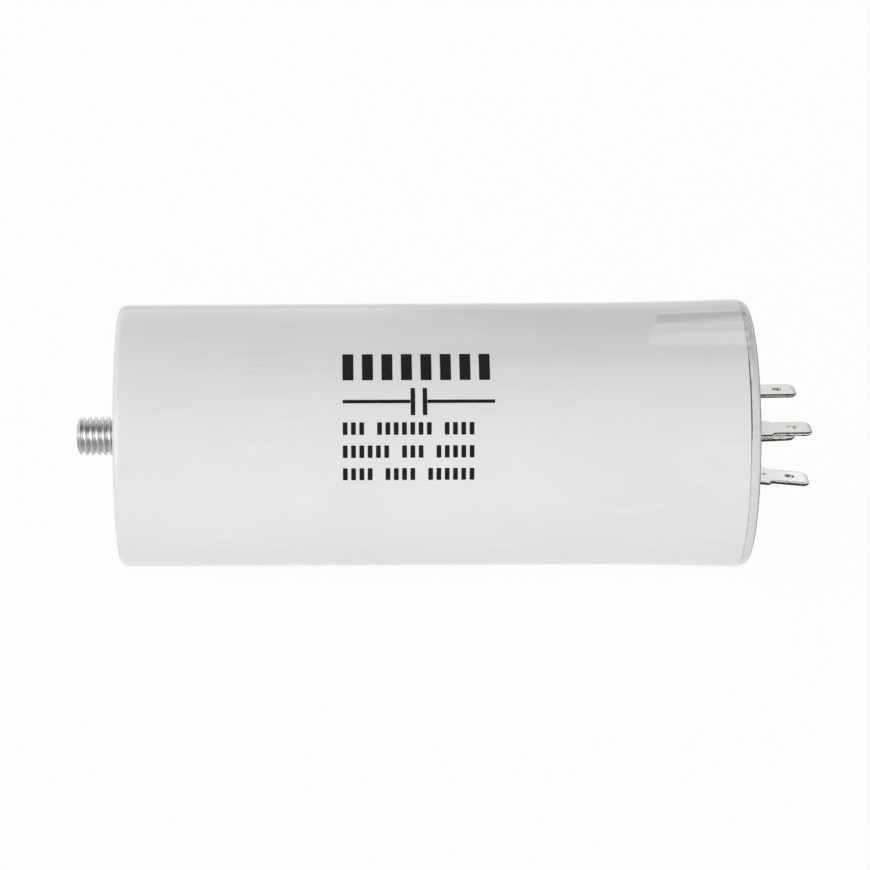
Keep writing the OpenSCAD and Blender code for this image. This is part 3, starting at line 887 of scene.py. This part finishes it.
def symbolMarks():
    # a plate and a wire on each side of the gap
    s = marks["symbol"]
    found = []
    for side, end in ((-1, marks["left"]), (1, marks["right"])):
        inner = s["x"] + side * s["gap"] / 2
        outer = s["x"] + side * (s["gap"] / 2 + s["plate"])
        wireStart = outer + side * s["apart"]
        for (a, b), tall in (((inner, outer), s["tall"]), ((wireStart, end), s["wire"])):
            found.append((min(a, b), max(a, b), s["middle"] - tall / 2, s["middle"] + tall / 2))
    return found


def markList():
    # flat layout: (left, right, low, high), x along the can and height round it, in mm
    found = []
    row = marks["heavyRow"]
    x = marks["left"]
    for i in range(row["count"]):
        found.append((x, x + row["wide"], row["low"], row["high"]))
        x += row["wide"] + row["space"]
    found += symbolMarks()
    for row in marks["blockRows"]:
        x = marks["left"]
        for count in row["words"]:
            for i in range(count):
                found.append((x, x + marks["blockWide"], row["low"], row["high"]))
                x += marks["blockWide"] + marks["blockSpace"]
            x += marks["wordSpace"] - marks["blockSpace"]
    return found


def flatMark(left, right, low, high):
    # one flat mark with rounded corners, thin, cut fine enough to roll
    startClean()
    bpy.ops.mesh.primitive_plane_add(size=1, location=(0, 0, 0))
    mark = nameActive("mark")
    openMesh()
    wide, tall = right - left, high - low
    bpy.ops.transform.resize(value=(wide * mm, tall * mm, 1), center_override=(0, 0, 0))
    bpy.ops.transform.translate(value=((left + right) / 2 * mm, (low + high) / 2 * mm, 0))
    cornerR = min(marks["corner"], wide * marks["cornerShare"], tall * marks["cornerShare"])
    bpy.ops.mesh.bevel(offset=cornerR * mm, segments=marks["cornerSteps"], affect="VERTICES")
    count = max(1, math.ceil(tall / marks["rollStep"]))
    for i in range(1, count):
        bpy.ops.mesh.select_all(action="SELECT")
        level = (low + tall * i / count) * mm
        bpy.ops.mesh.bisect(plane_co=(0, level, 0), plane_no=(0, 1, 0), threshold=cutSlack)
    bpy.ops.mesh.select_all(action="SELECT")
    bpy.ops.mesh.extrude_region_move(TRANSFORM_OT_translate={"value": (0, 0, marks["thick"] * mm)})
    mergeAndFace()
    closeMesh()
    return mark


def makeMarks():
    made = [flatMark(*m) for m in markList()]
    startClean()
    for mark in made:
        mark.select_set(True)
    bpy.context.view_layer.objects.active = made[0]
    bpy.ops.object.join()
    piece = nameActive("print_marks")
    for v in piece.data.vertices:
        x, around, up = v.co / mm
        r = canRadius(x) + marks["lift"] + up
        angle = around / canRadius(x)
        v.co = Vector((x, -r * math.cos(angle), r * math.sin(angle))) * mm
    pickOnly(piece)
    openMesh()
    mergeAndFace()
    closeMesh()
    return piece


def printInk():
    mat, tree, shader, place = newMaterial("printInk")
    thin = remap(tree, grain(tree, place, 1400, 5, 0.65), 0.58, 0.74)
    colour = tint(tree, times(tree, thin, marks["wornShow"]), marks["ink"], marks["worn"])
    rough = remap(tree, thin, 0, 1, 0.42, 0.6)
    feed(tree, shader, {"Base Color": colour, "Roughness": rough, "Normal": relief(tree, thin, 0.1, 0.01)})
    shader.inputs["Specular IOR Level"].default_value = marks["specular"]
    return mat


printMarks = makeMarks()
finishPiece(printMarks, [], [printInk()])
print("print:", len(printMarks.data.polygons), "faces")


# finishes of the sealed inner pieces, which stay as they come

inside = {
    "tagBrass": {"nodes": ["solder_tag_front", "solder_tag_back"], "light": (0.66, 0.47, 0.19, 1),
                 "dark": (0.50, 0.34, 0.12, 1), "scale": (300, 2200, 2200), "rough": 0.34, "metal": 1},
    "leadRed": {"nodes": ["upper_lead"], "light": (0.46, 0.03, 0.025, 1),
                "dark": (0.36, 0.02, 0.02, 1), "scale": (120, 900, 900), "rough": 0.38, "metal": 0},
    "leadBlue": {"nodes": ["lower_lead"], "light": (0.03, 0.07, 0.36, 1),
                 "dark": (0.02, 0.05, 0.27, 1), "scale": (120, 900, 900), "rough": 0.38, "metal": 0},
    "woundFilm": {"nodes": ["winding"], "light": (0.62, 0.66, 0.72, 1),
                  "dark": (0.50, 0.54, 0.60, 1), "scale": (60, 3000, 3000), "rough": 0.25, "metal": 0.6},
    "corePlastic": {"nodes": ["core_tube"], "light": (0.74, 0.70, 0.58, 1),
                    "dark": (0.66, 0.62, 0.50, 1), "scale": (90, 500, 500), "rough": 0.5, "metal": 0},
    "sprayedZinc": {"nodes": ["upper_contact", "lower_contact"], "light": (0.42, 0.43, 0.45, 1),
                    "dark": (0.28, 0.29, 0.31, 1), "scale": (1600, 1600, 1600), "rough": 0.62, "metal": 1},
    "wrapFilm": {"nodes": ["winding_wrap"], "light": (0.68, 0.55, 0.26, 1),
                 "dark": (0.58, 0.46, 0.20, 1), "scale": (40, 260, 260), "rough": 0.35, "metal": 0},
    "castResin": {"nodes": ["potting_resin"], "light": (0.045, 0.045, 0.05, 1),
                  "dark": (0.08, 0.08, 0.085, 1), "scale": (220, 220, 220), "rough": 0.45, "metal": 0},
}


def innerFinish(name, look):
    mat, tree, shader, place = newMaterial(name)
    drawn = streaks(tree, place, look["scale"], 4, 0.6)
    colour = tint(tree, remap(tree, drawn, 0.35, 0.68), look["light"], look["dark"])
    rough = remap(tree, drawn, 0.3, 0.7, look["rough"], look["rough"] + 0.16)
    bumps = relief(tree, drawn, 0.3, 0.03)
    feed(tree, shader, {"Base Color": colour, "Roughness": rough, "Normal": bumps}, Metallic=look["metal"])
    return mat


for name, look in inside.items():
    mat = innerFinish(name, look)
    for node in look["nodes"]:
        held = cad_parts[node].data
        held.materials.clear()
        held.materials.append(mat)
print("inner finishes:", len(inside))


# camera at the photograph's viewing angle

view = {
    "place": (0.04457, -0.62634, 0.22550), "aim": (0.06498, 0, -0.000167), "roll": 0.354,
    "lens": 132.87, "sensor": 36, "clip": (0.02, 30),
}


def makeCamera():
    startClean()
    bpy.ops.object.camera_add(location=view["place"])
    camera = nameActive("camera")
    ahead = (Vector(view["aim"]) - Vector(view["place"])).normalized()
    right = ahead.cross(Vector((0, 0, 1))).normalized()
    up = right.cross(ahead)
    roll = math.radians(view["roll"])
    turnedRight = right * math.cos(roll) + up * math.sin(roll)
    turnedUp = up * math.cos(roll) - right * math.sin(roll)
    camera.rotation_euler = Matrix((turnedRight, turnedUp, -ahead)).transposed().to_euler()
    camera.data.lens = view["lens"]
    camera.data.sensor_width = view["sensor"]
    camera.data.clip_start, camera.data.clip_end = view["clip"]
    bpy.context.scene.camera = camera


makeCamera()
print("camera placed")


# pale floor, white surroundings, soft lamps, and cards that only the gloss shows

studio = {
    "floorSize": 8.0, "floor": (0.95, 0.95, 0.95, 1), "floorGlow": 0.95, "tableGlow": 0.22,
    "white": (1, 1, 1, 1), "sky": (0.985, 0.99, 1.0, 1), "skyLevel": 0.55, "aim": (0.06, 0, 0),
    "lamps": [
        {"name": "frontBox", "place": (-0.42, -1.3, 0.085), "size": (1.4, 0.22), "power": 8.75},
        {"name": "leftBox", "place": (-1.1, -0.35, 0.30), "size": (0.8, 0.56), "power": 1.7},
        {"name": "rightBox", "place": (1.3, -0.25, 0.12), "size": (0.8, 0.30), "power": 1.3},
        {"name": "backBox", "place": (0.06, 1.3, 0.05), "size": (1.4, 0.14), "power": 4.0},
    ],
    # cards lying at a height z, or upright at a depth y: corners near left, near right, far left, far right,
    # and one level, or the levels at those corners with the stretch of x over which left blends into right
    "cards": [
        {"name": "farCard", "z": 1.2, "levels": (1.78, 1.1, 1.4, 1.2), "blend": (0.06, 0.22),
         "corners": ((-3, 1.5), (3, 1.5), (-3, 6), (3, 6))},
        {"name": "backCard", "z": 1.2, "levels": (1.5, 0.72, 1.78, 1.1), "blend": (0.06, 0.22),
         "corners": ((-3, 0.35), (3, 0.35), (-3, 1.5), (3, 1.5))},
        {"name": "overCard", "z": 1.2, "levels": (1.2, 0.35, 1.5, 0.72), "blend": (0.03, 0.12),
         "corners": ((-3, 0.05), (3, 0.05), (-3, 0.35), (3, 0.35))},
        {"name": "nearCard", "z": 1.2, "levels": (1.1, 1.0, 1.2, 0.35), "blend": (0.03, 0.12),
         "corners": ((-3, -0.3), (3, -0.3), (-3, 0.05), (3, 0.05))},
        {"name": "patchCard", "z": 0.0302, "level": 1.35,
         "corners": ((0.1078, -0.0122), (0.1300, -0.0132), (0.1090, -0.0045), (0.1300, -0.0046))},
        {"name": "brightCard", "z": 0.03, "levels": (1.7, 2.2, 1.7, 2.2), "blend": (0.1081, 0.1123),
         "corners": ((0.1078, -0.0118), (0.1300, -0.0128), (0.1088, -0.0086), (0.1300, -0.0081))},
        {"name": "lineCard", "z": 0.03, "level": 1.85,
         "corners": ((0.1095, -0.0058), (0.1300, -0.0060), (0.1096, -0.0046), (0.1300, -0.0048))},
        {"name": "darkCard", "z": 0.03, "level": 0.2,
         "corners": ((0.1099, -0.0042), (0.1300, -0.0021), (0.1106, 0.0003), (0.1300, 0.0006))},
        {"name": "topCard", "z": 0.03, "level": 1.4,
         "corners": ((0.1115, 0.0009), (0.1265, 0.0011), (0.1116, 0.0022), (0.1266, 0.0024))},
        {"name": "studFlag", "z": 0.012, "level": 0.24,
         "corners": ((-0.03, -0.0114), (-0.0006, -0.0114), (-0.03, -0.0004), (-0.0006, -0.0004))},
        {"name": "studTop", "z": 0.012, "level": 0.85,
         "corners": ((-0.03, -0.0004), (-0.0006, -0.0004), (-0.03, 0.03), (-0.0006, 0.03))},
        {"name": "studFloor", "z": -0.0268, "level": 0.3,
         "corners": ((-0.15, -0.36), (-0.027, -0.36), (-0.15, -0.023), (-0.0032, -0.023))},
        {"name": "studNear", "z": -0.0268, "level": 0.68,
         "corners": ((-0.15, -0.023), (-0.0032, -0.023), (-0.15, 0.03), (-0.004, 0.03))},
        {"name": "endLow", "z": -0.0268, "level": 0.35,
         "corners": ((-0.3, 0.03), (-0.006, 0.03), (-0.3, 0.068), (-0.006, 0.068))},
        {"name": "endBright", "z": -0.0268, "level": 1.8,
         "corners": ((-0.3, 0.068), (-0.042, 0.068), (-0.3, 0.092), (-0.042, 0.092))},
        {"name": "endTop", "z": -0.0268, "level": 0.5,
         "corners": ((-0.3, 0.092), (-0.042, 0.092), (-0.3, 0.3), (-0.042, 0.3))},
        {"name": "endSide", "z": -0.0268, "level": 0.4,
         "corners": ((-0.042, 0.068), (-0.006, 0.068), (-0.042, 0.2), (-0.006, 0.2))},
        {"name": "studWindow", "y": -0.0285, "level": 1.15,
         "corners": ((-0.08, -0.0018), (-0.0005, -0.0018), (-0.08, 0.026), (-0.0005, 0.026))},
        {"name": "windowCore", "y": -0.0284, "level": 2.5,
         "corners": ((-0.08, 0.0028), (-0.0005, 0.0028), (-0.08, 0.019), (-0.0005, 0.019))},
    ],
}


def stageMaterial(name):
    mat = bpy.data.materials.new(name)
    mat.use_nodes = True
    tree = mat.node_tree
    tree.nodes.remove(tree.nodes["Principled BSDF"])
    return mat, tree


def glow(tree, level):
    return put(tree, "Emission", {"Color": studio["white"], "Strength": level}).outputs[0]


def toSurface(tree, surface):
    tree.links.new(surface, tree.nodes["Material Output"].inputs["Surface"])


def seenDirectly(tree):
    # camera, mirror-like and see-through rays all meet the plain white surroundings
    path = put(tree, "LightPath", {})
    seen = most(tree, path.outputs["Is Camera Ray"], path.outputs["Is Glossy Ray"])
    return most(tree, seen, path.outputs["Is Transmission Ray"])


def makeFloor():
    startClean()
    bpy.ops.mesh.primitive_plane_add(size=studio["floorSize"], location=(0, 0, cadLow.z))
    floor = nameActive("floor")
    applyPlace()
    mat, tree = stageMaterial("paleFloor")
    matt = put(tree, "BsdfDiffuse", {"Color": studio["floor"]}).outputs[0]
    # a softly lit table: seen directly it is white, and it still takes the shadow
    factor = remap(tree, seenDirectly(tree), 0, 1, studio["tableGlow"], studio["floorGlow"])
    toSurface(tree, put(tree, "MixShader", {0: factor, 1: matt, 2: glow(tree, 1)}).outputs[0])
    floor.data.materials.append(mat)


def makeWorld():
    world = bpy.data.worlds.new("surroundings")
    bpy.context.scene.world = world
    world.use_nodes = True
    tree = world.node_tree
    soft = tree.nodes["Background"]
    soft.inputs["Color"].default_value = studio["sky"]
    soft.inputs["Strength"].default_value = studio["skyLevel"]
    white = put(tree, "Background", {"Color": studio["white"], "Strength": 1}).outputs[0]
    both = put(tree, "MixShader", {0: seenDirectly(tree), 1: soft.outputs[0], 2: white}).outputs[0]
    tree.links.new(both, tree.nodes["World Output"].inputs["Surface"])


def makeLamps():
    for lamp in studio["lamps"]:
        startClean()
        bpy.ops.object.light_add(type="AREA", location=lamp["place"])
        light = nameActive(lamp["name"])
        light.data.shape = "RECTANGLE"
        light.data.size, light.data.size_y = lamp["size"]
        light.data.energy = lamp["power"]
        light.visible_glossy = False
        toward = Vector(studio["aim"]) - Vector(lamp["place"])
        light.rotation_euler = toward.to_track_quat("-Z", "Y").to_euler()


def cardLevel(tree, spec):
    # the gradient of a card that has four levels
    along, up = split(tree, tree.nodes.new("ShaderNodeTexCoord").outputs["Object"])[:2]
    near = remap(tree, along, *spec["blend"], *spec["levels"][:2])
    far = remap(tree, along, *spec["blend"], *spec["levels"][2:])
    return remap(tree, up, spec["corners"][0][1], spec["corners"][3][1], near, far)


def makeCards():
    # flat cards that shade nothing and only show in the gloss
    for spec in studio["cards"]:
        startClean()
        bpy.ops.mesh.primitive_plane_add(size=1, location=(0, 0, 0))
        card = nameActive(spec["name"])
        for v, (across, along) in zip(card.data.vertices, spec["corners"]):
            v.co = (across, along, spec["z"]) if "z" in spec else (across, spec["y"], along)
        mat, tree = stageMaterial(spec["name"])
        mat.cycles.emission_sampling = "NONE"
        toSurface(tree, glow(tree, cardLevel(tree, spec) if "levels" in spec else spec["level"]))
        card.data.materials.append(mat)
        card.visible_camera = card.visible_diffuse = card.visible_shadow = card.visible_transmission = False


makeFloor()
makeWorld()
makeLamps()
makeCards()
bpy.context.scene.view_settings.view_transform = "Standard"
print("studio ready")
